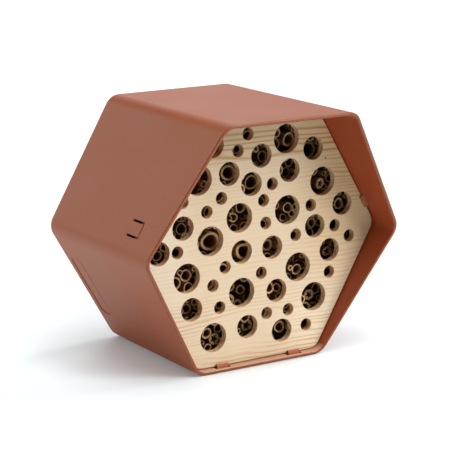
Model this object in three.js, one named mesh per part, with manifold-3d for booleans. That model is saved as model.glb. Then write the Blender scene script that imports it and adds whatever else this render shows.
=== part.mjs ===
// Insect hotel: a six-sided moulded shell, a drilled pine front panel held by four snap
// tongues, and a bed of hollow reeds behind the panel.
//
// Units are millimetres and +Z is up. The origin is under the middle of the shell, on the
// surface that the hotel stands on. The open front faces -Y and is cut on a slant, so that
// the top wall overhangs the panel like a rain roof.

import * as THREE from 'three';
import { mergeVertices } from 'three/addons/utils/BufferGeometryUtils.js';
import Module from 'manifold-3d';

const wasm = await Module();
wasm.setup();

// ---- driving dimensions ----
const ACROSS_FLATS = 200;
const CORNER_RADIUS = 13;
const WALL = 3;
const DEPTH_TOP = 176;
const DEPTH_BOTTOM = 132;

const PANEL_SET_BACK = 6;
const PANEL_THICKNESS = 6;
const PANEL_CLEARANCE = 0.5;
const MESH_GAP = 0.3;

const TONGUE_WIDTH = 10.4;
const TONGUE_LENGTH = 15.6;
const TONGUE_SIDE_SLOT = 1.3;
const TONGUE_TIP_SLOT = 0.9;
const HOOK_HEIGHT = 3;
const HOOK_LENGTH = 2.7;
const HOOK_RAMP = 1.4;
const SIDE_TONGUE_OFFSET = 35;
const BOTTOM_TONGUE_OFFSET = 33;

const STOP_RIB = { width: 24, thickness: 3, height: 3 };
const KEYHOLE = { headRadius: 4.5, slotWidth: 4.6, slotLength: 12, aboveCentre: 55 };
const MARK_FIELD = { length: 58, width: 18, cornerRadius: 6, depth: 0.5, fromBack: 17 };

const REED_LENGTH = 105;
const REED_BACK_GAP = 8;
const REED_FRONT_SPREAD = 6;
const REED_CLEARANCE = 0.6;
const REED_WALL_RATIO = 0.68;
const REED_SIDES = 10;
const REED_BED_SHIFT = { x: 6.5, z: -3 };
const REED_SCATTER = 2;
const REED_DIAMETERS = [12, 10, 9.5, 9, 8.5, 16, 10, 9, 8, 9, 9.5, 11, 13.5, 9, 13, 8.5];
const LARGE_REED = 13;

const CORNER_STEPS = 5;
const GOLDEN_ANGLE = Math.PI * (3 - Math.sqrt(5));

// Holes drilled in the panel, one list for each drill: x and z from the panel's centre.
const DRILLINGS = [
  {
    diameter: 23, sides: 20, centres: [
      [27, 75], [-52, 51], [61, 38], [28, 19], [-16, 18], [-42, 3],
      [-63, -23], [38, -28], [-14, -41], [53, -54], [-40, -73],
    ],
  },
  {
    diameter: 18.5, sides: 16, centres: [
      [-39, 76], [52, 65], [4, 64], [-25, 53], [30, 50], [-5, 43], [80, 18], [-66, 16], [54, 3],
      [-87, -1], [-14, -9], [14, -9], [68, -18], [18, -44], [-59, -48], [-9, -69], [23, -77],
    ],
  },
  {
    diameter: 10, sides: 12, centres: [
      [-8, 82], [-17, 70], [14, 41], [-66, 36], [-32, 35], [6, 29], [-45, 26], [50, 20],
      [8, 11], [73, 1], [36, -2], [-71, -2], [87, -9], [-29, -19], [4, -28], [-40, -32],
      [68, -36], [-34, -50], [9, -61], [29, -61], [46, -76],
    ],
  },
];

// ---- derived places ----
const HALF_FLATS = ACROSS_FLATS / 2;
const CENTRE_Z = HALF_FLATS;
const BACK_Y = DEPTH_TOP / 2;
const FRONT_Y = -DEPTH_TOP / 2;
const BOTTOM_RIM_Y = BACK_Y - DEPTH_BOTTOM;
const PANEL_FRONT_Y = BOTTOM_RIM_Y + PANEL_SET_BACK;
const PANEL_BACK_Y = PANEL_FRONT_Y + PANEL_THICKNESS;
const TONGUE_TIP_Y = PANEL_FRONT_Y - MESH_GAP - HOOK_LENGTH;
const TONGUE_ROOT_Y = TONGUE_TIP_Y + TONGUE_LENGTH;
const REED_BACK_Y = BACK_Y - WALL - REED_BACK_GAP;
const INNER_APOTHEM = HALF_FLATS - WALL;
const THIRD_TURN = (2 * Math.PI) / 3;

// The four snap tongues. A turn about the middle carries the bottom wall onto the tongue's
// own wall, and the offset runs along that wall.
const TONGUES = [
  { name: 'snap_tongue_left', turn: THIRD_TURN, offset: SIDE_TONGUE_OFFSET },
  { name: 'snap_tongue_right', turn: -THIRD_TURN, offset: -SIDE_TONGUE_OFFSET },
  { name: 'snap_tongue_bottom_left', turn: 0, offset: -BOTTOM_TONGUE_OFFSET },
  { name: 'snap_tongue_bottom_right', turn: 0, offset: BOTTOM_TONGUE_OFFSET },
];

// ---- materials ----
const MATERIALS = {
  terracottaPlastic: new THREE.MeshStandardMaterial({ color: 0xa66a53, roughness: 0.62, metalness: 0 }),
  pine: new THREE.MeshStandardMaterial({ color: 0xe3cba6, roughness: 0.72, metalness: 0 }),
  reed: new THREE.MeshStandardMaterial({ color: 0xb08a58, roughness: 0.85, metalness: 0 }),
};

// ---- solids ----
function toSolid(geometry) {
  const bare = geometry.clone();
  bare.deleteAttribute('normal');
  bare.deleteAttribute('uv');
  const merged = mergeVertices(bare, 1e-4);
  const mesh = new wasm.Mesh({
    numProp: 3,
    vertProperties: new Float32Array(merged.attributes.position.array),
    triVerts: new Uint32Array(merged.index.array),
  });
  return new wasm.Manifold(mesh);
}

function toGeometry(solid) {
  const mesh = solid.getMesh();
  const geometry = new THREE.BufferGeometry();
  geometry.setAttribute('position', new THREE.BufferAttribute(mesh.vertProperties, 3));
  geometry.setIndex(new THREE.BufferAttribute(mesh.triVerts, 1));
  geometry.computeVertexNormals();
  return geometry;
}

// Extrudes an outline drawn in X and Z along Y, from frontY to backY.
function extrudeAlongY(shape, frontY, backY) {
  const geometry = new THREE.ExtrudeGeometry(shape, { depth: backY - frontY, bevelEnabled: false });
  return geometry.rotateX(Math.PI / 2).translate(0, backY, 0);
}

// Extrudes an outline drawn in Y and Z along X, centred on x = 0.
function extrudeAlongX(shape, width) {
  const geometry = new THREE.ExtrudeGeometry(shape, { depth: width, bevelEnabled: false });
  return geometry.applyMatrix4(new THREE.Matrix4().set(
    0, 0, 1, -width / 2,
    1, 0, 0, 0,
    0, 1, 0, 0,
    0, 0, 0, 1,
  ));
}

function box(width, depth, height, x, y, z) {
  return new THREE.BoxGeometry(width, depth, height).translate(x, y, z);
}

// A flat-topped hexagon with rounded corners, as points around its centre.
function hexagonPoints(apothem, radius) {
  const points = [];
  const toArcCentre = (apothem - radius) / Math.cos(Math.PI / 6);
  for (let corner = 0; corner < 6; corner += 1) {
    const middle = (corner * Math.PI) / 3;
    for (let step = 0; step <= CORNER_STEPS; step += 1) {
      const angle = middle + (step / CORNER_STEPS - 0.5) * (Math.PI / 3);
      points.push(new THREE.Vector2(
        toArcCentre * Math.cos(middle) + radius * Math.cos(angle),
        toArcCentre * Math.sin(middle) + radius * Math.sin(angle),
      ));
    }
  }
  return points;
}

function hexagonShape(apothem, radius) {
  return new THREE.Shape(hexagonPoints(apothem, radius));
}

// A circle as points, turned so that it has a flat on each axis.
function roundPoints(x, z, radius, sides) {
  const points = [];
  for (let side = 0; side < sides; side += 1) {
    const angle = (2 * Math.PI * (side + 0.5)) / sides;
    points.push(new THREE.Vector2(x + radius * Math.cos(angle), z + radius * Math.sin(angle)));
  }
  return points;
}

// ---- shell ----
// Everything in front of the slanted rim, as one block to cut away.
function slantBlock() {
  const reach = 2 * ACROSS_FLATS;
  const slant = Math.atan2(DEPTH_TOP - DEPTH_BOTTOM, ACROSS_FLATS);
  const rimMiddleY = (FRONT_Y + BOTTOM_RIM_Y) / 2;
  return box(reach, reach, reach, 0, -reach / 2, 0).rotateX(slant).translate(0, rimMiddleY, 0);
}

// One stop rib on the bottom wall. The panel's back rests against all six.
function stopRib() {
  const { width, thickness, height } = STOP_RIB;
  const y = PANEL_BACK_Y + MESH_GAP + thickness / 2;
  return box(width, thickness, height + 1, 0, y, -INNER_APOTHEM - 1 + (height + 1) / 2);
}

// The window around one tongue, through the bottom wall.
function tongueWindow(offset) {
  const frontY = TONGUE_TIP_Y - TONGUE_TIP_SLOT;
  const width = TONGUE_WIDTH + 2 * TONGUE_SIDE_SLOT;
  const depth = TONGUE_ROOT_Y + MESH_GAP - frontY;
  return box(width, depth, 3 * WALL, offset, frontY + depth / 2, -HALF_FLATS + WALL / 2);
}

// A keyhole through the back wall: a round entry for a screw head, with a slot above it.
function keyhole() {
  const { headRadius, slotWidth, slotLength, aboveCentre } = KEYHOLE;
  const frontY = BACK_Y - 2 * WALL;
  const entry = new THREE.Shape(roundPoints(0, aboveCentre, headRadius, 24));
  const slot = box(slotWidth, 3 * WALL, slotLength, 0, BACK_Y - WALL / 2, aboveCentre + slotLength / 2);
  return toSolid(extrudeAlongY(entry, frontY, BACK_Y + WALL)).add(toSolid(slot));
}

// A blank field with rounded corners, sunk into the lower left wall close to its back edge.
function markField() {
  const { length, width, cornerRadius, depth, fromBack } = MARK_FIELD;
  const endX = length / 2 - cornerRadius;
  const endY = width / 2 - cornerRadius;
  const outline = new THREE.Shape();
  [[1, 1], [-1, 1], [-1, -1], [1, -1]].forEach(([signX, signY], quarter) => {
    const start = (quarter * Math.PI) / 2;
    outline.absarc(signX * endX, signY * endY, cornerRadius, start, start + Math.PI / 2);
  });
  const field = new THREE.ExtrudeGeometry(outline, { depth: 2 * depth, bevelEnabled: false, curveSegments: 3 });
  field.translate(0, BACK_Y - fromBack, -HALF_FLATS - depth);
  return field.rotateY(Math.PI / 3);
}

function makeShell() {
  const outer = hexagonShape(HALF_FLATS, CORNER_RADIUS);
  const inner = hexagonShape(INNER_APOTHEM, CORNER_RADIUS - WALL);
  let solid = toSolid(extrudeAlongY(outer, FRONT_Y, BACK_Y));
  solid = solid.subtract(toSolid(extrudeAlongY(inner, FRONT_Y - WALL, BACK_Y - WALL)));
  for (let wall = 0; wall < 6; wall += 1) {
    solid = solid.add(toSolid(stopRib().rotateY((wall * Math.PI) / 3)));
  }
  solid = solid.subtract(toSolid(slantBlock()));
  for (const tongue of TONGUES) {
    solid = solid.subtract(toSolid(tongueWindow(tongue.offset).rotateY(tongue.turn)));
  }
  return toGeometry(solid.subtract(keyhole()).subtract(toSolid(markField())));
}

// ---- snap tongue ----
// Seen from the side: a strip as thick as the wall, with a ramped hook at its tip.
function makeTongue() {
  const outside = -HALF_FLATS;
  const inside = outside + WALL;
  const crest = inside + HOOK_HEIGHT;
  const catchY = TONGUE_TIP_Y + HOOK_LENGTH;
  const profile = new THREE.Shape([
    new THREE.Vector2(TONGUE_ROOT_Y, outside),
    new THREE.Vector2(TONGUE_ROOT_Y, inside),
    new THREE.Vector2(catchY, inside),
    new THREE.Vector2(catchY, crest),
    new THREE.Vector2(TONGUE_TIP_Y + HOOK_RAMP, crest),
    new THREE.Vector2(TONGUE_TIP_Y, inside),
    new THREE.Vector2(TONGUE_TIP_Y, outside),
  ]);
  return extrudeAlongX(profile, TONGUE_WIDTH);
}

// ---- front panel ----
function makePanel() {
  const edge = MESH_GAP + PANEL_CLEARANCE / 2;
  const outline = hexagonShape(INNER_APOTHEM - edge, CORNER_RADIUS - WALL - edge);
  for (const { diameter, sides, centres } of DRILLINGS) {
    for (const [x, z] of centres) {
      outline.holes.push(new THREE.Path(roundPoints(x, z, diameter / 2, sides)));
    }
  }
  return extrudeAlongY(outline, PANEL_FRONT_Y, PANEL_BACK_Y);
}

// ---- reeds ----
// How large a reed fits at a place, clear of the walls and of the reeds already laid.
function freeRadius(x, z, reeds) {
  let free = INNER_APOTHEM;
  for (let wall = 0; wall < 6; wall += 1) {
    const angle = Math.PI / 6 + (wall * Math.PI) / 3;
    const toWall = INNER_APOTHEM - x * Math.cos(angle) - z * Math.sin(angle);
    free = Math.min(free, toWall - REED_CLEARANCE);
  }
  for (const reed of reeds) {
    free = Math.min(free, Math.hypot(x - reed.x, z - reed.z) - reed.radius - REED_CLEARANCE);
  }
  return free;
}

// One reed behind each drilled hole, pushed off its centre as loosely packed reeds are.
function layReeds() {
  const holes = DRILLINGS.flatMap((drilling) => drilling.centres);
  const reeds = [];
  holes.forEach(([holeX, holeZ], index) => {
    const angle = index * GOLDEN_ANGLE;
    const x = holeX + REED_BED_SHIFT.x + REED_SCATTER * Math.cos(angle);
    const z = holeZ + REED_BED_SHIFT.z + REED_SCATTER * Math.sin(angle);
    const wanted = REED_DIAMETERS[index % REED_DIAMETERS.length] / 2;
    const radius = Math.min(wanted, freeRadius(x, z, reeds));
    reeds.push({ x, z, radius, index });
  });
  return reeds;
}

// A reed lies along Y. It is open at the front and closed inside by its natural node.
function makeReed({ x, z, radius, index }) {
  const bore = radius * REED_WALL_RATIO;
  const frontY = REED_BACK_Y - REED_LENGTH + ((index * 5) % 7) * (REED_FRONT_SPREAD / 6);
  const nodeY = frontY + REED_LENGTH * (0.45 + ((index * 3) % 5) / 12);
  const profile = [
    new THREE.Vector2(0, nodeY),
    new THREE.Vector2(bore, nodeY),
    new THREE.Vector2(bore, frontY),
    new THREE.Vector2(radius, frontY),
    new THREE.Vector2(radius, REED_BACK_Y),
    new THREE.Vector2(0, REED_BACK_Y),
  ];
  return new THREE.LatheGeometry(profile, REED_SIDES).translate(x, 0, z);
}

function reedName({ radius, index }) {
  const kind = 2 * radius >= LARGE_REED ? 'bamboo_tube' : 'reed';
  return `${kind}_${String(index + 1).padStart(2, '0')}`;
}

// ---- assembly ----
const group = new THREE.Group();
const hotel = new THREE.Group();
hotel.position.z = CENTRE_Z;
group.add(hotel);

function addPiece(parent, name, geometry, material) {
  const mesh = new THREE.Mesh(geometry, material);
  mesh.name = name;
  parent.add(mesh);
  return mesh;
}

addPiece(hotel, 'shell', makeShell(), MATERIALS.terracottaPlastic);
addPiece(hotel, 'front_panel', makePanel(), MATERIALS.pine);
for (const { name, turn, offset } of TONGUES) {
  const wall = new THREE.Group();
  wall.rotation.y = turn;
  hotel.add(wall);
  addPiece(wall, name, makeTongue(), MATERIALS.terracottaPlastic).position.x = offset;
}
for (const reed of layReeds()) {
  addPiece(hotel, reedName(reed), makeReed(reed), MATERIALS.reed);
}

export default group;
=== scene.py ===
"""Insect hotel: the looks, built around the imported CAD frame. Lengths are in metres."""

import math
import random

import bmesh
import bpy
import numpy as np
from mathutils import Matrix, Vector


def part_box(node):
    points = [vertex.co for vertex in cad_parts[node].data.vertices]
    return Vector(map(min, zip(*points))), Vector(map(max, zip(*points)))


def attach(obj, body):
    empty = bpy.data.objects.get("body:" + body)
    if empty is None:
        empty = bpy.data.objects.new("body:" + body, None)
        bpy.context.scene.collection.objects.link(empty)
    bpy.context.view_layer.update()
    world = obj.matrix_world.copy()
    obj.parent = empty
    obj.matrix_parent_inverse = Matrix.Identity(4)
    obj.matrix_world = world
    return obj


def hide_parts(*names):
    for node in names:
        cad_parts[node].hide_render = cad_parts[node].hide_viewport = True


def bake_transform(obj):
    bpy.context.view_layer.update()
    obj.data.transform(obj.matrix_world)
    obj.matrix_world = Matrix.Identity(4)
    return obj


MM = 0.001

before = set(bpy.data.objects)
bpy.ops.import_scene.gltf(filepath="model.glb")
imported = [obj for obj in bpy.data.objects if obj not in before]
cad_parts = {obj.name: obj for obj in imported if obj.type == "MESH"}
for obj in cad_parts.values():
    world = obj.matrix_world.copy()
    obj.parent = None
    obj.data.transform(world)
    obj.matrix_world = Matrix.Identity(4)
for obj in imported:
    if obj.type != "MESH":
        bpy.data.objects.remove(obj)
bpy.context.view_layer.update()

# ---- places read from the frame ----
SHELL_LOW, SHELL_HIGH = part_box("shell")
PANEL_LOW, PANEL_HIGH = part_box("front_panel")
APOTHEM = SHELL_HIGH.z / 2
CENTRE = Vector((0, 0, APOTHEM))
BACK_Y = SHELL_HIGH.y
CORNER_CUT = 1 / math.cos(math.pi / 6) - 1
CORNER_RADIUS = (APOTHEM / math.cos(math.pi / 6) - SHELL_HIGH.x) / CORNER_CUT
REED_NODES = sorted(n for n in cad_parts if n.startswith(("reed_", "bamboo_tube_")))
TONGUE_NODES = sorted(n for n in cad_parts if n.startswith("snap_tongue_"))
TONGUE_LOW, TONGUE_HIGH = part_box("snap_tongue_bottom_left")
TONGUE_WIDTH = TONGUE_HIGH.x - TONGUE_LOW.x

# ---- sizes that the frame doesn't give directly ----
WALL = 3 * MM
DEPTH_BOTTOM = 132 * MM
RIM_Y_BOTTOM = BACK_Y - DEPTH_BOTTOM
RIM_ROUNDING = 1.3 * MM
BACK_ROUNDING = 1.6 * MM
CORNER_STEPS = 12
FIT_GAP = 0.3 * MM

# the stop ribs: how wide, how thick and how high, and the slope of their sides
RIB = Vector((24, 3, 3)) * MM
RIB_SLOPE = MM

# the snap tongues and the slots round them
HOOK_HEIGHT = TONGUE_HIGH.z - WALL
HOOK_RAMP = 1.4 * MM
TONGUE_ROUNDING = 0.3 * MM
TONGUE_STEPS = 8
SLOT_SIDE = 1.7 * MM
SLOT_TIP = 1.1 * MM

# the blank field on the lower left wall, and the line round its floor: how far in and how wide
MARK_SIZE = Vector((58, 18)) * MM
MARK_FROM_BACK = 17 * MM
MARK_DEPTH = 0.35 * MM
MARK_CORNER = 6 * MM
MARK_TURN = math.pi / 3
BORDER = Vector((1.6, 0.7)) * MM
BORDER_DEPTH = 1.35 * MARK_DEPTH

# the keyhole in the back wall: its round entry, and the width and reach of its slot
KEYHOLE_RADIUS = 4.5 * MM
KEYHOLE_SLOT = Vector((4.6, 12)) * MM
KEYHOLE_Z = 55 * MM

# the panel: its play in the shell, its edges, its upper glue line and its knot
PANEL_GAP = 0.85 * MM
PANEL_CHAMFER = 0.2 * MM
SMALL_HOLE_RADIUS = 6 * MM
GLUE_LINE_Z = CENTRE.z + 62 * MM
KNOT = (63.5 * MM, PANEL_LOW.y, CENTRE.z + 56 * MM)

# the stems: the shares of unusual ones, how deep a star's rays cut, and the widest star
BRIGHT_SHARE = 0.12
SPLIT_SHARE = 0.2
THIN_STAR_SHARE = 0.2
LAID_STAR_SHARE = 0.25
STAR_DEPTH = 0.5
STAR_RADIUS = 5.2 * MM

# the thin reeds: how many, with their least and greatest radius in millimetres, and the room that
# they leave to the walls for the ribs
THIN_REEDS = ((150, 3.2, 5.2), (260, 2.0, 3.2))
WALL_ROOM = 3.4 * MM

# the view: angles in degrees, and the lens in millimetres
VIEW_AZIMUTH, VIEW_ELEVATION, VIEW_ROLL = -32.15, 13.0, -0.25
VIEW_TARGET = Vector((-10.3 * MM, -8.2 * MM, 106 * MM))
VIEW_DISTANCE = 1392.7 * MM
LENS = 143.4
FLOOR_REACH = 12


# ---- mesh helpers ----
def new_object(name, data):
    """A mesh, curve, camera or light, put into the scene."""
    obj = bpy.data.objects.new(name, data)
    bpy.context.scene.collection.objects.link(obj)
    return obj


def object_from_bmesh(name, bm):
    """A new object, with its faces pointing out. The bmesh is used up."""
    bmesh.ops.recalc_face_normals(bm, faces=bm.faces)
    mesh = bpy.data.meshes.new(name)
    bm.to_mesh(mesh)
    bm.free()
    return new_object(name, mesh)


def bake_modifiers(obj):
    """Turns the modifier stack into the object's own mesh."""
    bpy.context.view_layer.update()
    evaluated = obj.evaluated_get(bpy.context.evaluated_depsgraph_get())
    mesh = bpy.data.meshes.new_from_object(evaluated)
    obj.modifiers.clear()
    old = obj.data
    obj.data = mesh
    bpy.data.meshes.remove(old)


def smooth(obj, angle=35):
    """Smooth shading that keeps edges sharper than the angle, in degrees."""
    for polygon in obj.data.polygons:
        polygon.use_smooth = True
    limit = math.radians(angle)
    bm = bmesh.new()
    bm.from_mesh(obj.data)
    for edge in bm.edges:
        edge.smooth = not (len(edge.link_faces) == 2 and edge.calc_face_angle(0) > limit)
    bm.to_mesh(obj.data)
    bm.free()
    weighted = obj.modifiers.new("weighted", "WEIGHTED_NORMAL")
    weighted.keep_sharp = True
    weighted.weight = 100


def hexagon(apothem, radius, steps=CORNER_STEPS):
    """Points of a flat-topped hexagon with rounded corners, as (x, z) about its centre."""
    points = []
    to_arc = (apothem - radius) / math.cos(math.pi / 6)
    for corner in range(6):
        middle = corner * math.pi / 3
        for step in range(steps + 1):
            angle = middle + (step / steps - 0.5) * math.pi / 3
            points.append((
                to_arc * math.cos(middle) + radius * math.cos(angle),
                to_arc * math.sin(middle) + radius * math.sin(angle),
            ))
    return points


def turn_about_centre(turn):
    """Carries the bottom wall round the hotel's long axis onto another wall."""
    return Matrix.Translation(CENTRE) @ Matrix.Rotation(turn, 4, "Y") @ Matrix.Translation(-CENTRE)


def prism_bmesh(outline, low, high, axis):
    """A closed prism along an axis, with its outline in the other two, in X, Y, Z order."""
    place = {
        "X": lambda u, v, level: (level, u, v),
        "Y": lambda u, v, level: (u, level, v),
        "Z": lambda u, v, level: (u, v, level),
    }[axis]
    bm = bmesh.new()
    ends = [[bm.verts.new(place(u, v, level)) for u, v in outline] for level in (low, high)]
    bm.faces.new(ends[0])
    bm.faces.new(list(reversed(ends[1])))
    count = len(outline)
    for i in range(count):
        j = (i + 1) % count
        bm.faces.new((ends[0][i], ends[1][i], ends[1][j], ends[0][j]))
    return bm


def prism(name, outline, low, high, axis="Y"):
    return object_from_bmesh(name, prism_bmesh(outline, low, high, axis))


def bridge(bm, near, far, closed=True):
    """Joins two rows of vertices with a band of faces."""
    count = len(near)
    for i in range(count if closed else count - 1):
        j = (i + 1) % count
        bm.faces.new((near[i], near[j], far[j], far[i]))


def cut(obj, cutter, operation="DIFFERENCE"):
    """Cuts or joins one object with another, which is used up."""
    modifier = obj.modifiers.new("cut", "BOOLEAN")
    modifier.operation = operation
    modifier.solver = "EXACT"
    modifier.object = cutter
    bake_modifiers(obj)
    bpy.data.objects.remove(cutter)


# ---- material helper ----
class Shader:
    """A principled material, with short calls for adding nodes and links."""

    def __init__(self, name, **sockets):
        self.material = bpy.data.materials.new(name)
        self.material.use_nodes = True
        self.tree = self.material.node_tree
        self.principled = self.tree.nodes["Principled BSDF"]
        for socket, value in sockets.items():
            self.principled.inputs[socket.replace("_", " ")].default_value = value

    def node(self, kind, settings=None, **inputs):
        made = self.tree.nodes.new("ShaderNode" + kind)
        for key, value in (settings or {}).items():
            setattr(made, key, value)
        for key, value in inputs.items():
            self.put(made.inputs[key.replace("_", " ")], value)
        return made

    def put(self, socket, value):
        if isinstance(value, bpy.types.NodeSocket):
            self.tree.links.new(value, socket)
        else:
            socket.default_value = value

    def place(self):
        """The point's place on the piece, in metres."""
        return self.node("TexCoord").outputs["Object"]

    def scaled(self, vector, scale):
        return self.node("Mapping", Scale=scale, Vector=vector).outputs["Vector"]

    def split(self, vector):
        """A vector's X, Y and Z."""
        return self.node("SeparateXYZ", Vector=vector).outputs

    def noise(self, vector, scale, detail=3.0, roughness=0.5):
        made = self.node("TexNoise", Vector=vector, Scale=scale, Detail=detail, Roughness=roughness)
        return made.outputs["Fac"]

    def grain(self, place, scale, detail=2.0):
        """Noise with its own scale along each axis, so that it is drawn out along some."""
        return self.noise(self.scaled(place, scale), 1.0, detail)

    def math(self, operation, first, second=0.0, clamp=False):
        made = self.node("Math", {"operation": operation, "use_clamp": clamp})
        self.put(made.inputs[0], first)
        self.put(made.inputs[1], second)
        return made.outputs["Value"]

    def vector(self, operation, first, second, output="Vector"):
        made = self.node("VectorMath", {"operation": operation})
        self.put(made.inputs[0], first)
        self.put(made.inputs[1], second)
        return made.outputs[output]

    def add_shares(self, value, *shares):
        """The value plus each field times its share."""
        for field, share in shares:
            value = self.math("ADD", value, self.math("MULTIPLY", field, share))
        return value

    def remap(self, value, low, high, to_low=0.0, to_high=1.0):
        """Leads a range smoothly onto another, and holds its ends outside it."""
        made = self.node("MapRange", {"interpolation_type": "SMOOTHSTEP"}, Value=value)
        self.put(made.inputs["From Min"], low)
        self.put(made.inputs["From Max"], high)
        self.put(made.inputs["To Min"], to_low)
        self.put(made.inputs["To Max"], to_high)
        return made.outputs["Result"]

    def mix(self, factor, first, second, blend="MIX"):
        """From the first colour at a factor of 0 to the second at 1."""
        made = self.node("Mix", {"data_type": "RGBA", "blend_type": blend})
        self.put(made.inputs[0], factor)
        self.put(made.inputs[6], first)
        self.put(made.inputs[7], second)
        return made.outputs[2]

    def attribute(self, name):
        return self.node("Attribute", {"attribute_name": name}).outputs["Fac"]

    def bump(self, height, strength, distance):
        made = self.node("Bump", Height=height, Strength=strength, Distance=distance)
        return made.outputs["Normal"]

    def finish(self, **sockets):
        for socket, value in sockets.items():
            self.put(self.principled.inputs[socket.replace("_", " ")], value)
        return self.material


def srgb(red, green, blue):
    """A display colour, 0 to 255, as the linear colour that a shader takes."""
    channels = [c / 255 for c in (red, green, blue)]
    linear = [c / 12.92 if c <= 0.04045 else ((c + 0.055) / 1.055) ** 2.4 for c in channels]
    return (*linear, 1.0)


# ---- materials ----
def rim_band(shader, place):
    """1 on the moulded front edge, by the distance behind the slanted rim plane."""
    lean = (RIM_Y_BOTTOM - SHELL_LOW.y) / SHELL_HIGH.z
    behind = shader.vector("DOT_PRODUCT", place, (0, 1, lean), "Value")
    return shader.remap(behind, RIM_Y_BOTTOM + 0.7 * MM, RIM_Y_BOTTOM + 1.5 * MM, 1.0, 0.0)


def inner_shade(shader, place, normal):
    """How much painted shade shows: a darker, redder colour, none outside and most on the inner faces,
    standing in for the shade and red bounce light inside the shell.
    """
    from_centre = shader.vector("SUBTRACT", place, CENTRE)
    outward = shader.vector("DOT_PRODUCT", from_centre, normal, "Value")
    return shader.remap(outward, -0.5 * APOTHEM, 0.0, 0.65, 0.0)


def ledge_reflection(shader, place, normal):
    """How much painted reflection lies on the ledge in front of the panel: a paler colour on low upward
    faces that stands in for the bright panel mirrored there.
    """
    low = shader.remap(shader.split(place)["Z"], 2 * WALL + 0.5 * MM, 2 * WALL + 2 * MM, 1.0, 0.0)
    return shader.math("MULTIPLY", low, shader.remap(shader.split(normal)["Z"], 0.4, 0.95, 0.0, 0.62))


def terracotta_plastic():
    """Matte moulded plastic with a fine spark-eroded texture, smoother at the rim. Painted shade
    darkens the rim and the inner faces, and a painted reflection lightens the ledge in front of the
    panel.
    """
    shader = Shader("terracotta_plastic", Specular_IOR_Level=0.6, Specular_Tint=(1, 1, 0.82, 1))
    place = shader.place()
    normal = shader.node("NewGeometry").outputs["Normal"]
    cloud = shader.noise(place, 14.0, 4.0)
    speck = shader.noise(place, 600.0, 3.0, 0.6)
    rim = rim_band(shader, place)
    colour = shader.mix(shader.remap(cloud, 0.3, 0.7), srgb(149, 66, 22), srgb(154, 70, 26))
    colour = shader.mix(shader.remap(speck, 0.45, 0.75, 0.0, 0.4), colour, srgb(128, 54, 20))
    # painted shade: the inner faces are made darker and redder
    colour = shader.mix(inner_shade(shader, place, normal), colour, srgb(150, 50, 12))
    # painted shade: the rim's colour is darkened; the lower roughness below is the real smoother edge
    colour = shader.mix(shader.math("MULTIPLY", rim, 0.5), colour, srgb(112, 52, 28))
    # painted reflection: the ledge in front of the panel is made paler
    colour = shader.mix(ledge_reflection(shader, place, normal), colour, srgb(214, 176, 146))
    roughness = shader.remap(cloud, 0.2, 0.8, 0.5, 0.58)
    roughness = shader.math("SUBTRACT", roughness, shader.math("MULTIPLY", rim, 0.28))
    texture = shader.bump(shader.noise(place, 1500.0, 2.0, 0.6), 0.22, 0.25 * MM)
    return shader.finish(Base_Color=colour, Roughness=roughness, Normal=texture)


def growth_rings(shader, place, spacing, drift):
    """0 in the pale early wood and 1 on the dark late wood, in wavering lines along X."""
    bend = shader.grain(place, (6, 6, 16))
    wave = shader.noise(place, 24.0, 1.0)
    uneven = shader.grain(place, (1, 1, 60))
    height = shader.add_shares(
        shader.split(place)["Z"], (bend, drift), (wave, 4 * MM), (uneven, 4 * spacing),
    )
    phase = shader.math("FRACT", shader.math("DIVIDE", height, spacing))
    return shader.remap(shader.math("PINGPONG", phase, 0.5), 0.2, 0.5)


def upper_right_shade(shader, place):
    """Painted shade towards the right, strongest above the middle: warmer, darker wood where the roof
    and the right wall shade the panel.
    """
    right = shader.remap(shader.split(place)["X"], 20 * MM, 85 * MM)
    high = shader.remap(shader.split(place)["Z"], CENTRE.z - 50 * MM, CENTRE.z, 0.15, 1.5)
    return shader.math("MULTIPLY", right, high)


def ring_strength(shader, place, top_board, right_shade):
    """How dark the late wood is. Below the top board it fades in and out in patches."""
    low = shader.remap(shader.split(place)["Z"], CENTRE.z - 70 * MM, CENTRE.z - 35 * MM, 0.42, 0.1)
    # the right_shade share darkens the late wood towards the upper right as painted shade
    strength = shader.add_shares(low, (top_board, 0.68), (right_shade, 0.24))
    patches = shader.remap(shader.grain(place, (9, 9, 40)), 0.36, 0.62, 0.15, 1.6)
    return shader.math("MULTIPLY", strength, shader.math("MAXIMUM", patches, top_board))


def pine_tone(shader, place, fibre, top_board, right_shade):
    """The colour between the rings: yellower in the top board, browner towards the upper right as
    painted shade, and paler at the left and in the lower right corner as painted light."""
    across = shader.split(place)["X"]
    tone = shader.mix(fibre, srgb(216, 196, 168), srgb(208, 184, 152))
    tone = shader.mix(shader.math("MULTIPLY", top_board, 0.55), tone, srgb(200, 180, 136))
    patch = shader.remap(shader.grain(place, (7, 7, 18)), 0.42, 0.75)
    tone = shader.mix(shader.math("MULTIPLY", patch, 0.2), tone, srgb(200, 168, 128))
    # painted light: the panel is made paler towards the left
    left_light = shader.remap(across, -92 * MM, -45 * MM, 0.8, 0.0)
    tone = shader.mix(left_light, tone, srgb(221, 209, 184))
    # painted shade: the wood turns browner towards the upper right
    tone = shader.mix(shader.math("MULTIPLY", right_shade, 0.4), tone, srgb(204, 170, 122))
    low = shader.remap(shader.split(place)["Z"], CENTRE.z - 75 * MM, CENTRE.z - 25 * MM, 0.65, 0.0)
    # painted light: the lower right corner is made paler, against the right wall's shadow
    corner = shader.math("MULTIPLY", shader.remap(across, 5 * MM, 55 * MM), low)
    return shader.mix(corner, tone, srgb(230, 212, 184))


def glue_line(shader, place, colour):
    """A thin darker line where the top board is glued on."""
    away = shader.math("ABSOLUTE", shader.math("SUBTRACT", shader.split(place)["Z"], GLUE_LINE_Z))
    return shader.mix(shader.remap(away, 0.1 * MM, 0.35 * MM, 0.45, 0.0), colour, srgb(150, 110, 66))


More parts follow.
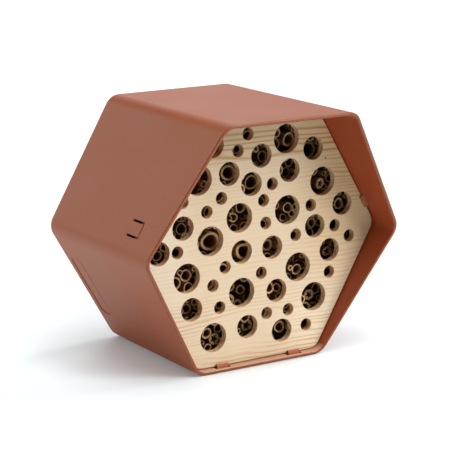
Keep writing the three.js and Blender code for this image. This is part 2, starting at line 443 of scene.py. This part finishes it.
def knot(shader, place, colour):
    """One small dark pin knot."""
    away = shader.vector("DISTANCE", place, KNOT, "Value")
    return shader.mix(shader.remap(away, 0.5 * MM, 1.1 * MM, 0.85, 0.0), colour, srgb(88, 52, 28))


def pine_face():
    """Glued pine boards: strong yellow late wood in the top board, faint lines below it."""
    shader = Shader("pine", Specular_IOR_Level=0.3)
    place = shader.place()
    top_board = shader.math("GREATER_THAN", shader.split(place)["Z"], GLUE_LINE_Z)
    right_shade = upper_right_shade(shader, place)
    fibre = shader.grain(place, (40, 40, 1600), 3.0)
    fine = growth_rings(shader, place, 3.4 * MM, 20 * MM)
    bold = growth_rings(shader, place, 4.4 * MM, 22 * MM)
    rings = shader.mix(top_board, fine, bold)
    strength = ring_strength(shader, place, top_board, right_shade)
    late = shader.math("MULTIPLY", rings, strength, clamp=True)
    tone = pine_tone(shader, place, fibre, top_board, right_shade)
    colour = shader.mix(late, tone, srgb(176, 128, 70))
    colour = knot(shader, place, glue_line(shader, place, colour))
    roughness = shader.remap(fibre, 0.2, 0.8, 0.55, 0.7)
    texture = shader.bump(shader.math("ADD", fibre, rings), 0.12, 0.2 * MM)
    return shader.finish(Base_Color=colour, Roughness=roughness, Normal=texture)


def drilled_wood():
    """The bored walls: the same pine, rougher, a little scorched and lined round by the drill."""
    shader = Shader("drilled_wood", Roughness=0.8, Specular_IOR_Level=0.2)
    fibre = shader.grain(shader.place(), (300, 1400, 300), 4.0)
    colour = shader.mix(shader.remap(fibre, 0.3, 0.7), srgb(228, 193, 150), srgb(166, 127, 88))
    return shader.finish(Base_Color=colour, Normal=shader.bump(fibre, 0.3, 0.3 * MM))


def reed_stem(name, skin, cut_end, bore):
    """Dry grass stems: streaked and blotched skin, a fibrous cut end and a bore painted dark as shade.
    Each stem is lighter or darker by its own tone."""
    shader = Shader(name, Roughness=0.7, Specular_IOR_Level=0.35)
    place = shader.place()
    streak = shader.grain(place, (900, 40, 900), 3.0)
    blotch = shader.grain(place, (110, 25, 110))
    fibres = shader.grain(place, (2600, 300, 2600))
    skin_colour = shader.mix(shader.remap(streak, 0.3, 0.7), skin, bore)
    skin_colour = shader.mix(shader.remap(blotch, 0.5, 0.75, 0.0, 0.5), skin_colour, srgb(104, 66, 38))
    end_colour = shader.mix(shader.remap(fibres, 0.35, 0.7), cut_end, skin)
    colour = shader.mix(shader.attribute("cut_end"), skin_colour, end_colour)
    # painted shade: the inside of the bore takes the dark bore colour
    colour = shader.mix(shader.attribute("inside"), colour, bore)
    shade = shader.remap(shader.attribute("tone"), 0.0, 1.0, 0.6, 1.4)
    grey = shader.node("CombineColor", Red=shade, Green=shade, Blue=shade)
    colour = shader.mix(1.0, colour, grey.outputs["Color"], "MULTIPLY")
    return shader.finish(Base_Color=colour, Normal=shader.bump(fibres, 0.35, 0.2 * MM))


# ---- shell ----
def rim_y(z):
    """The slanted rim plane: how far forward the shell reaches at a height."""
    return RIM_Y_BOTTOM + (SHELL_LOW.y - RIM_Y_BOTTOM) * z / SHELL_HIGH.z


def quarter_round(steps=5):
    """(1 - cos, 1 - sin) at even steps round a quarter turn, so from (0, 1) to (1, 0)."""
    turns = [math.pi / 2 * step / steps for step in range(steps + 1)]
    return [(1 - math.cos(turn), 1 - math.sin(turn)) for turn in turns]


def shell_profile():
    """The wall's section from the inside of the back wall, out round the rim and back. A point
    is the end that it is measured from, its depth under the outer face and its y from that end."""
    profile = [("back", WALL, -WALL)]
    for rise, fall in quarter_round():
        profile.append(("rim", WALL - RIM_ROUNDING * rise, RIM_ROUNDING * fall))
    for rise, fall in quarter_round():
        profile.append(("rim", RIM_ROUNDING * fall, RIM_ROUNDING * rise))
    for rise, fall in quarter_round():
        profile.append(("back", BACK_ROUNDING * rise, -BACK_ROUNDING * fall))
    return profile


def shell_body():
    """The hexagonal tube with its rounded rim and its back wall, as one closed skin."""
    bm = bmesh.new()
    rings = []
    for end, depth, offset in shell_profile():
        ring = []
        for x, z in hexagon(APOTHEM - depth, CORNER_RADIUS - depth):
            height = CENTRE.z + z
            y = rim_y(height) + offset if end == "rim" else BACK_Y + offset
            ring.append(bm.verts.new((x, y, height)))
        rings.append(ring)
    for near, far in zip(rings, rings[1:]):
        bridge(bm, near, far)
    bm.faces.new(rings[0])
    bm.faces.new(list(reversed(rings[-1])))
    return object_from_bmesh("shell_moulding", bm)


def stop_ribs(shell):
    """Six short ribs that the panel's back rests against."""
    low = PANEL_HIGH.y + FIT_GAP
    inner = CENTRE.z - (APOTHEM - WALL)
    foot, crest = RIB.x / 2, RIB.x / 2 - RIB_SLOPE
    outline = [(-foot, inner - MM), (foot, inner - MM), (crest, inner + RIB.z), (-crest, inner + RIB.z)]
    for wall in range(6):
        rib = prism("rib", outline, low, low + RIB.y)
        rib.data.transform(turn_about_centre(wall * math.pi / 3))
        cut(shell, rib, "UNION")


def tongue_place(node):
    """The turn that carries the bottom wall onto the tongue's wall, and its offset along it."""
    low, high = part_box(node)
    middle = (low + high) / 2 - CENTRE
    for turn in (0, 2 * math.pi / 3, -2 * math.pi / 3):
        flat = Matrix.Rotation(-turn, 4, "Y") @ Vector((middle.x, 0, middle.z))
        if flat.z < -0.9 * (APOTHEM - WALL):
            return turn, flat.x
    raise ValueError(node)


def tongue_windows(shell):
    """The openings in the walls that the tongues stand in, a slot wider than each tongue."""
    for node in TONGUE_NODES:
        turn, offset = tongue_place(node)
        low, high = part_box(node)
        left, right = offset - TONGUE_WIDTH / 2 - SLOT_SIDE, offset + TONGUE_WIDTH / 2 + SLOT_SIDE
        front, back = low.y - SLOT_TIP, high.y
        outline = [(left, front), (right, front), (right, back), (left, back)]
        window = prism("window", outline, -WALL, 2 * WALL, axis="Z")
        window.data.transform(turn_about_centre(turn))
        cut(shell, window)


def rounded_box(width, height, radius, steps=6):
    """Points of a rectangle with rounded corners, about its middle."""
    points = []
    for quarter, (side, end) in enumerate(((1, 1), (-1, 1), (-1, -1), (1, -1))):
        for step in range(steps + 1):
            angle = (quarter + step / steps) * math.pi / 2
            points.append((side * (width / 2 - radius) + radius * math.cos(angle),
                           end * (height / 2 - radius) + radius * math.sin(angle)))
    return points


def mark_outline(inset):
    """The blank field's outline, drawn on the bottom wall."""
    width, height = MARK_SIZE - Vector((2 * inset, 2 * inset))
    middle = BACK_Y - MARK_FROM_BACK
    return [(u, middle + v) for u, v in rounded_box(width, height, MARK_CORNER - inset)]


def mark_field(shell):
    """The blank field sunk into the lower left wall, with a fine line round its floor."""
    field = prism("field", mark_outline(0), -MARK_DEPTH, MARK_DEPTH, axis="Z")
    inset, breadth = BORDER
    border = prism("border", mark_outline(inset), MARK_DEPTH - 0.1 * MM, BORDER_DEPTH, axis="Z")
    cut(border, prism("island", mark_outline(inset + breadth), 0, 3 * MARK_DEPTH, axis="Z"))
    for cutter in (field, border):
        cutter.data.transform(turn_about_centre(MARK_TURN))
        cut(shell, cutter)


def keyhole(shell):
    """A round entry with a narrower slot above it, through the back wall."""
    half = KEYHOLE_SLOT.x / 2
    base = math.asin(half / KEYHOLE_RADIUS)
    entry_steps, end_steps = 24, 8
    outline = []
    for step in range(entry_steps + 1):
        angle = math.pi / 2 + base + (2 * math.pi - 2 * base) * step / entry_steps
        outline.append((KEYHOLE_RADIUS * math.cos(angle), KEYHOLE_RADIUS * math.sin(angle)))
    for step in range(end_steps + 1):
        angle = math.pi * step / end_steps
        outline.append((half * math.cos(angle), KEYHOLE_SLOT.y - half + half * math.sin(angle)))
    outline = [(u, CENTRE.z + KEYHOLE_Z + v) for u, v in outline]
    cut(shell, prism("keyhole", outline, BACK_Y - 2 * WALL, BACK_Y + WALL))


def make_shell(material):
    """The moulded shell, all of it but the four tongues."""
    shell = shell_body()
    stop_ribs(shell)
    tongue_windows(shell)
    mark_field(shell)
    keyhole(shell)
    shell.data.materials.clear()
    shell.data.materials.append(material)
    smooth(shell)
    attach(shell, "shell")
    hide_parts("shell")


# ---- snap tongues ----
def tongue_profile(tip, root):
    """A tongue on the bottom wall seen from the side, as (y, z): a strip with a ramped hook that
    catches the panel's front face."""
    catch = PANEL_LOW.y - FIT_GAP
    crest = WALL + HOOK_HEIGHT
    return [(root, 0), (root, WALL), (catch, WALL), (catch, crest),
            (tip + HOOK_RAMP, crest), (tip, WALL), (tip, 0)]


def tongue_strip(node, offset, tip, root):
    """The tongue on the bottom wall, with rounded edges, and cut across in steps from its root to the
    hook.
    """
    profile = tongue_profile(tip, root)
    bm = prism_bmesh(profile, offset - TONGUE_WIDTH / 2, offset + TONGUE_WIDTH / 2, axis="X")
    catch = PANEL_LOW.y - FIT_GAP
    for step in range(1, TONGUE_STEPS):
        cut_y = root + (catch - root) * step / TONGUE_STEPS
        parts = bm.verts[:] + bm.edges[:] + bm.faces[:]
        bmesh.ops.bisect_plane(bm, geom=parts, plane_co=(0, cut_y, 0), plane_no=(0, 1, 0))
    before_root = [e for e in bm.edges if min(v.co.y for v in e.verts) < root - 0.1 * MM]
    sharp = [e for e in before_root if e.calc_face_angle(0) > 0.5]
    bmesh.ops.bevel(bm, geom=sharp, offset=TONGUE_ROUNDING, segments=3, profile=0.5, affect="EDGES")
    return object_from_bmesh(node + "_strip", bm)


def make_tongue(node, material):
    """A tongue, turned from the bottom wall onto its own wall of the shell."""
    turn, offset = tongue_place(node)
    low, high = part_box(node)
    tip, root = low.y, high.y
    tongue = tongue_strip(node, offset, tip, root)
    tongue.data.transform(turn_about_centre(turn))
    tongue.data.materials.append(material)
    smooth(tongue)
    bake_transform(tongue)
    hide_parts(node)


# ---- front panel ----
def vertex_islands(bm):
    """The groups of vertices that faces join together."""
    islands = []
    seen = set()
    for start in bm.verts:
        if start in seen or not start.link_faces:
            continue
        island = [start]
        seen.add(start)
        for vert in island:
            for edge in vert.link_edges:
                other = edge.other_vert(vert)
                if edge.link_faces and other not in seen:
                    seen.add(other)
                    island.append(other)
        islands.append(island)
    return islands


def drilled_holes():
    """(x, z, radius) of every hole in the CAD panel, read from the walls of its holes."""
    bm = bmesh.new()
    bm.from_mesh(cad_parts["front_panel"].data)
    bmesh.ops.remove_doubles(bm, verts=bm.verts, dist=1e-6)
    faces = [f for f in bm.faces if abs(f.normal.y) > 0.5]
    bmesh.ops.delete(bm, geom=faces, context="FACES_ONLY")
    holes = []
    for island in vertex_islands(bm):
        flat = np.array([(v.co.x, v.co.z) for v in island])
        middle = flat.mean(axis=0)
        radius = np.hypot(*(flat - middle).T).max()
        if radius < 0.5 * APOTHEM:
            holes.append((float(middle[0]), float(middle[1]), float(radius)))
    bm.free()
    return holes


def panel_outlines():
    """The board's edge and the rim of every hole, as (x, z) about the hotel's centre."""
    edge = APOTHEM - WALL - PANEL_GAP - PANEL_CHAMFER
    outlines = [hexagon(edge, CORNER_RADIUS - WALL, steps=8)]
    for x, z, radius in drilled_holes():
        sides = 40 if radius > SMALL_HOLE_RADIUS else 28
        reach = radius + PANEL_CHAMFER
        turns = [2 * math.pi * k / sides for k in range(sides)]
        outlines.append([
            (x + reach * math.cos(turn), z - CENTRE.z + reach * math.sin(turn)) for turn in turns
        ])
    return outlines


def filled_curve(name, outlines):
    """A flat filled curve, whose inner outlines are holes."""
    curve = bpy.data.curves.new(name, "CURVE")
    curve.dimensions = "2D"
    curve.fill_mode = "BOTH"
    for outline in outlines:
        spline = curve.splines.new("POLY")
        spline.points.add(len(outline) - 1)
        for point, (u, v) in zip(spline.points, outline):
            point.co = (u, v, 0, 1)
        spline.use_cyclic_u = True
    return curve


def panel_mesh():
    """The drilled board with its edges chamfered: a filled curve, thickened and stood upright."""
    curve = filled_curve("panel_outline", panel_outlines())
    curve.extrude = (PANEL_HIGH.y - PANEL_LOW.y) / 2 - PANEL_CHAMFER
    curve.bevel_depth = PANEL_CHAMFER
    curve.bevel_resolution = 1
    carrier = new_object("panel_carrier", curve)
    mesh = bpy.data.meshes.new_from_object(carrier)
    bpy.data.objects.remove(carrier)
    middle = (PANEL_HIGH.y + PANEL_LOW.y) / 2
    upright = Matrix.Rotation(math.pi / 2, 4, "X")
    mesh.transform(Matrix.Translation((0, middle, CENTRE.z)) @ upright)
    bm = bmesh.new()
    bm.from_mesh(mesh)
    bmesh.ops.remove_doubles(bm, verts=bm.verts, dist=1e-6)
    bmesh.ops.recalc_face_normals(bm, faces=bm.faces)
    bm.to_mesh(mesh)
    bm.free()
    return mesh


def make_panel(face_material, wall_material):
    """The drilled panel. Its holes' walls and its edge have the drilled material."""
    mesh = panel_mesh()
    panel = new_object("pine_panel", mesh)
    mesh.materials.clear()
    mesh.materials.append(face_material)
    mesh.materials.append(wall_material)
    for polygon in mesh.polygons:
        if abs(polygon.normal.y) < 0.5:
            polygon.material_index = 1
    smooth(panel, 30)
    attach(panel, "front_panel")
    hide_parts("front_panel")


# ---- reeds ----
class Stem:
    """One hollow stem along Y: out of round, slightly tilted, with a ragged slanting cut at its
    front. A stem with an arc under a full turn is a split one, open along its side."""

    def __init__(self, middle, radius, front, back, dice, sides=16, tilt=0.0, arc=1.0, star=0.0):
        self.middle, self.radius, self.front, self.back = middle, radius, front, back
        self.sides, self.arc, self.star = sides, arc, star
        self.bore = radius * dice.uniform(0.6, 0.8)
        self.depth = dice.uniform(18, 55) * MM
        self.phase = [dice.uniform(0, 2 * math.pi) for _ in range(5)]
        self.oval = dice.uniform(0.0, 0.07)
        self.lump = dice.uniform(0.0, 0.04)
        self.slant = dice.uniform(0.0, 0.16)
        self.lean = [dice.gauss(0, tilt), dice.gauss(0, tilt)]
        self.tone = 1.0 if dice.random() < BRIGHT_SHARE else dice.uniform(0.1, 0.75)

    def sections(self):
        """(radius, y, how much it is cut end, how much it is inside) for each ring of points:
        along the outside to the front, over the cut end, and down the bore to the natural node."""
        wall = self.radius - self.bore
        front, outer, inner = self.front, self.radius, self.bore
        return [
            (outer, self.back, 0, 0), (outer, front + 12 * MM, 0, 0), (outer, front + 0.3 * MM, 0, 0),
            (outer - 0.1 * wall, front, 1, 0), (outer - 0.5 * wall, front - 0.05 * MM, 1, 0),
            (inner + 0.15 * wall, front, 1, 0.1), (inner, front + 0.4 * MM, 0.6, 0.5),
            (inner, front + 4 * MM, 0, 1), (inner, front + self.depth, 0, 1),
            (inner * 0.5, front + self.depth + MM, 0, 1),
        ]

    def point(self, angle, size, y):
        """A ring's point, with the stem's flaws: the cut's slant and splinters only at its front."""
        shape = 1 + self.oval * (math.cos(2 * angle + self.phase[0]) - 1)
        shape += self.lump * (math.cos(3 * angle + self.phase[1]) - 1)
        if size < 0.9 * self.radius:
            shape *= 1 - self.star * (0.5 + 0.5 * math.cos(5 * angle + self.phase[4]))
        if y < self.front + MM:
            y += self.slant * size * math.cos(angle + self.phase[2])
            y += 0.22 * MM * math.sin(7 * angle + self.phase[3]) * math.sin(3 * angle + self.phase[2])
        away = y - self.front
        return Vector((self.middle[0] + size * shape * math.cos(angle) + self.lean[0] * away, y,
                       self.middle[1] + size * shape * math.sin(angle) + self.lean[1] * away))

    def add_to(self, bm, layers):
        """Builds the stem. A whole one is closed by its two ends, and a split one by its two long
        sides, where its section closes on itself."""
        whole = self.arc >= 1
        count = self.sides if whole else self.sides + 1
        turns = [self.phase[2] + 2 * math.pi * self.arc * k / self.sides for k in range(count)]
        sections = self.sections() if whole else self.sections()[:-1]
        rings = []
        for size, y, *values in sections:
            ring = [bm.verts.new(self.point(turn, size, y)) for turn in turns]
            for vert in ring:
                for layer, value in zip(layers, (*values, self.tone)):
                    vert[layer] = value
            rings.append(ring)
        if not whole:
            rings.append(rings[0])
        for near, far in zip(rings, rings[1:]):
            bridge(bm, near, far, closed=whole)
        if whole:
            bm.faces.new(rings[0])
            bm.faces.new(list(reversed(rings[-1])))
        else:
            bm.faces.new([ring[0] for ring in rings[:-1]])
            bm.faces.new([ring[-1] for ring in reversed(rings[:-1])])


def stem_bmesh():
    """An empty mesh, with the values for each vertex that the stems' material reads."""
    bm = bmesh.new()
    names = ("cut_end", "inside", "tone")
    return bm, [bm.verts.layers.float.new(name) for name in names]


def make_reed(node, material, dice):
    """The stem that stands for one CAD node."""
    low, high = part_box(node)
    radius = (high.z - low.z) / 2
    middle = ((low.x + high.x) / 2, (low.z + high.z) / 2)
    bm, layers = stem_bmesh()
    star = STAR_DEPTH if radius < STAR_RADIUS and dice.random() < LAID_STAR_SHARE else 0.0
    Stem(middle, radius, low.y, high.y, dice, sides=30, star=star).add_to(bm, layers)
    stem = object_from_bmesh(node + "_stem", bm)
    stem.data.materials.append(material)
    smooth(stem, 50)
    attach(stem, "shell")
    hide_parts(node)


def laid_reeds():
    """One row for each CAD stem: the x and z of its middle, and its radius."""
    rows = []
    for node in REED_NODES:
        low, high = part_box(node)
        rows.append(((low.x + high.x) / 2, (low.z + high.z) / 2, (high.z - low.z) / 2))
    return np.array(rows)


def pocket_reeds(sizes, seed=7, tries=24000, clearance=0.15 * MM):
    """Thin reeds for the pockets between the laid ones. Each size in turn takes the tried place
    that it fits most snugly."""
    dice = np.random.default_rng(seed)
    reach = SHELL_HIGH.x
    spots = dice.uniform(-reach, reach, (tries, 2))
    free = np.full(tries, reach)
    for wall in range(6):
        angle = math.pi / 6 + wall * math.pi / 3
        normal = np.array((math.cos(angle), math.sin(angle)))
        free = np.minimum(free, APOTHEM - WALL - WALL_ROOM - spots @ normal)
    for x, z, radius in laid_reeds():
        away = np.hypot(spots[:, 0] - x, spots[:, 1] - (z - CENTRE.z))
        free = np.minimum(free, away - radius)
    placed = []
    for size in sizes:
        slack = free - clearance - size
        slack[slack < 0] = np.inf
        best = int(np.argmin(slack))
        if not np.isfinite(slack[best]):
            continue
        spot = spots[best]
        placed.append((float(spot[0]), float(spot[1]) + CENTRE.z, float(size)))
        free = np.minimum(free, np.hypot(*(spots - spot).T) - size)
    return placed


def make_thin_reeds(material):
    """The loose thin stems between the laid ones, as one piece. Some are split, and some have a
    star-shaped bore."""
    dice = random.Random(23)
    sizes = [
        dice.uniform(least, most) * MM for count, least, most in THIN_REEDS for _ in range(count)
    ]
    sizes.sort(reverse=True)
    low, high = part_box(REED_NODES[0])
    front = min(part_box(node)[0].y for node in REED_NODES)
    bm, layers = stem_bmesh()
    for x, z, radius in pocket_reeds(sizes):
        arc = dice.uniform(0.4, 0.65) if dice.random() < SPLIT_SHARE else 1.0
        star = STAR_DEPTH if dice.random() < THIN_STAR_SHARE else 0.0
        start = front + dice.uniform(-2, 8) * MM
        stem = Stem((x, z), radius, start, high.y, dice, tilt=0.02, arc=arc, star=star)
        stem.add_to(bm, layers)
    thin = object_from_bmesh("thin_reeds", bm)
    thin.data.materials.append(material)
    smooth(thin, 50)
    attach(thin, "shell")


# ---- camera, floor and light ----
def add_camera():
    """A long lens a little above the hotel and to its left. The azimuth is 0 from the front."""
    camera = new_object("camera", bpy.data.cameras.new("camera"))
    azimuth, elevation, roll = map(math.radians, (VIEW_AZIMUTH, VIEW_ELEVATION, VIEW_ROLL))
    back = Vector((math.sin(azimuth) * math.cos(elevation),
                   -math.cos(azimuth) * math.cos(elevation), math.sin(elevation)))
    level = Vector((math.cos(azimuth), math.sin(azimuth), 0))
    upright = back.cross(level).normalized()
    right = level * math.cos(roll) + upright * math.sin(roll)
    up = upright * math.cos(roll) - level * math.sin(roll)
    place = VIEW_TARGET + back * VIEW_DISTANCE
    camera.matrix_world = Matrix((
        (right.x, up.x, back.x, place.x),
        (right.y, up.y, back.y, place.y),
        (right.z, up.z, back.z, place.z),
        (0, 0, 0, 1),
    ))
    camera.data.sensor_width = 36
    camera.data.lens = LENS
    camera.data.clip_end = 50
    bpy.context.scene.camera = camera


def add_floor():
    """A white floor, with a little less red in it so that its shadow stays grey."""
    bm = bmesh.new()
    bmesh.ops.create_grid(bm, x_segments=2, y_segments=2, size=FLOOR_REACH)
    floor = object_from_bmesh("floor", bm)
    shader = Shader("floor_white", Roughness=0.9, Specular_IOR_Level=0.1)
    floor.data.materials.append(shader.finish(Base_Color=(0.88, 0.95, 0.97, 1)))
    return floor


def add_sun(name, azimuth, elevation, softness, strength):
    """Light from far off. The azimuth is 0 from the front and positive to the right, and the
    softness is the angle that the source covers, all in degrees."""
    sun = bpy.data.lights.new(name, "SUN")
    sun.angle = math.radians(softness)
    sun.energy = strength
    obj = new_object(name, sun)
    turn, lift = math.radians(azimuth), math.radians(elevation)
    towards = Vector((math.sin(turn) * math.cos(lift),
                      -math.cos(turn) * math.cos(lift), math.sin(lift)))
    obj.location = CENTRE + towards
    obj.rotation_euler = towards.to_track_quat("Z", "Y").to_euler()
    return obj


def share_lights(floor, hotel_lights, floor_lights):
    """The hotel's lights pass the floor by, and the floor's lights pass the hotel by."""
    for name, state, lights in (
        ("all_but_floor", "EXCLUDE", hotel_lights), ("floor_alone", "INCLUDE", floor_lights),
    ):
        group = bpy.data.collections.new(name)
        group.objects.link(floor)
        group.collection_objects[0].light_linking.link_state = state
        for light in lights:
            light.light_linking.receiver_collection = group


def add_lights(floor):
    """Soft studio light: one set for the hotel, one for the floor, and a faint white sky."""
    world = bpy.data.worlds.new("studio")
    bpy.context.scene.world = world
    world.use_nodes = True
    sky = world.node_tree.nodes["Background"]
    sky.inputs["Color"].default_value = (1, 1, 1, 1)
    sky.inputs["Strength"].default_value = 0.05
    hotel_lights = [
        add_sun("key", 31, 33, 35, 2.0),
        add_sun("key_right", 42, 54, 30, 1.15),
        add_sun("low_back_right", 150, 20, 35, 0.5),
        add_sun("low_back_left", -150, 20, 35, 0.72),
        add_sun("high_left", -90, 55, 40, 0.7),
        add_sun("high_front", 0, 62, 40, 0.45),
        add_sun("high_back", 180, 62, 40, 0.4),
    ]
    floor_lights = [
        add_sun("floor_right", 90, 17, 35, 3.05),
        add_sun("floor_left", -90, 15, 35, 1.95),
        add_sun("floor_back_right", 142, 15, 35, 1.31),
        add_sun("floor_back_left", -152, 15, 35, 0.42),
        add_sun("floor_back", 175, 32, 50, 0.47),
        add_sun("floor_front", 20, 48, 20, 0.95),
        add_sun("floor_high", -20, 62, 40, 0.9),
        add_sun("floor_top", 0, 90, 50, 0.6),
    ]
    share_lights(floor, hotel_lights, floor_lights)


# ---- assembly ----
def main():
    bpy.context.scene.view_settings.view_transform = "Standard"
    add_camera()
    add_lights(add_floor())
    plastic = terracotta_plastic()
    make_shell(plastic)
    for node in TONGUE_NODES:
        make_tongue(node, plastic)
    make_panel(pine_face(), drilled_wood())
    reed = reed_stem("reed", srgb(162, 114, 68), srgb(234, 200, 150), srgb(104, 62, 34))
    bamboo = reed_stem("bamboo", srgb(174, 132, 80), srgb(212, 180, 136), srgb(104, 66, 38))
    dice = random.Random(11)
    for node in REED_NODES:
        make_reed(node, bamboo if node.startswith("bamboo") else reed, dice)
    make_thin_reeds(reed)


main()
bpy.context.view_layer.update()
